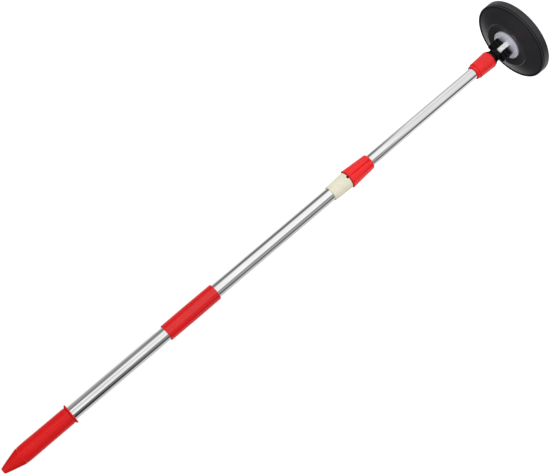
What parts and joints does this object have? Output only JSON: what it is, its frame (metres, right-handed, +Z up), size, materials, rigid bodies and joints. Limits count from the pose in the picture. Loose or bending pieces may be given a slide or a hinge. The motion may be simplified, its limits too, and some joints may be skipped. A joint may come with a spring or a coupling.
{
  "type": "spin mop pole",
  "caption": "Telescoping steel pole with grips and a twist lock, pressed by hand to spin a round mop plate on a tilting hinge.",
  "frame": {"origin": "centre of the head plate's underside, on the pole's axis", "axes": "+Z up along the pole from the head plate to the end grip; +X along the head hinge's pin, away from its washer end"},
  "size_m": [0.1536, 0.1536, 1.1564],
  "materials": {
    "steel_tube": "polished stainless steel",
    "steel_part": "plain drawn steel",
    "red_plastic": "glossy moulded plastic",
    "cream_plastic": "satin moulded plastic",
    "black_plastic": "satin moulded plastic",
    "grey_plastic": "satin moulded plastic",
    "white_plastic": "satin moulded plastic"
  },
  "bodies": {
    "handle": {"outer_tube": "steel_tube", "end_grip": "red_plastic", "grip_sleeve": "red_plastic", "lock_base": "cream_plastic", "mouth_bush": "white_plastic", "clamp_collet": "white_plastic", "twist_strip": "steel_part", "strip_stop": "steel_part", "strip_anchor": "white_plastic", "anchor_rivet": "steel_part"},
    "collar": {"lock_collar": "red_plastic"},
    "carriage": {"guide_bush": "white_plastic"},
    "nut": {"drive_nut": "white_plastic"},
    "rod": {"inner_tube": "steel_tube", "rod_collar": "red_plastic", "fork": "black_plastic", "stem_pin": "steel_part", "hinge_pin": "steel_part", "pin_washer": "steel_part", "clutch_housing": "white_plastic", "clutch_cap": "white_plastic"},
    "hub": {"hub_plate": "grey_plastic", "hub_lug": "white_plastic", "hub_retainer": "white_plastic", "lug_screw_1": "steel_part", "lug_screw_2": "steel_part", "retainer_screw_1": "steel_part", "retainer_screw_2": "steel_part", "retainer_screw_3": "steel_part", "retainer_screw_4": "steel_part"},
    "plate": {"mop_plate": "black_plastic", "thrust_washer": "white_plastic"}
  },
  "joints": [
    {"name": "lock_turn", "type": "hinge", "parent": "handle", "child": "collar", "pos_m": [0, 0, 0.4], "axis": [0, 0, 1], "range_deg": [0, 90]},
    {"name": "press_slide", "type": "slide", "parent": "handle", "child": "carriage", "axis": [0, 0, 1], "range_m": [0, 0.24]},
    {"name": "nut_turn", "type": "hinge", "parent": "carriage", "child": "nut", "pos_m": [0, 0, 0.665], "axis": [0, 0, 1], "range_deg": [0, 1085]},
    {"name": "rod_turn", "type": "hinge", "parent": "carriage", "child": "rod", "pos_m": [0, 0, 0.64], "axis": [0, 0, 1], "range_deg": [0, 1085]},
    {"name": "head_tilt", "type": "hinge", "parent": "rod", "child": "hub", "pos_m": [0, 0, 0.0415], "axis": [1, 0, 0], "range_deg": [-85, 85]},
    {"name": "plate_turn", "type": "hinge", "parent": "hub", "child": "plate", "pos_m": [0, 0, 0.0215], "axis": [0, 0, 1], "continuous": true}
  ],
  "couplings": [
    {"joint": "nut_turn", "follows": "press_slide", "rad_per_m": 78.54},
    {"joint": "rod_turn", "follows": "press_slide", "rad_per_m": 78.54}
  ]
}
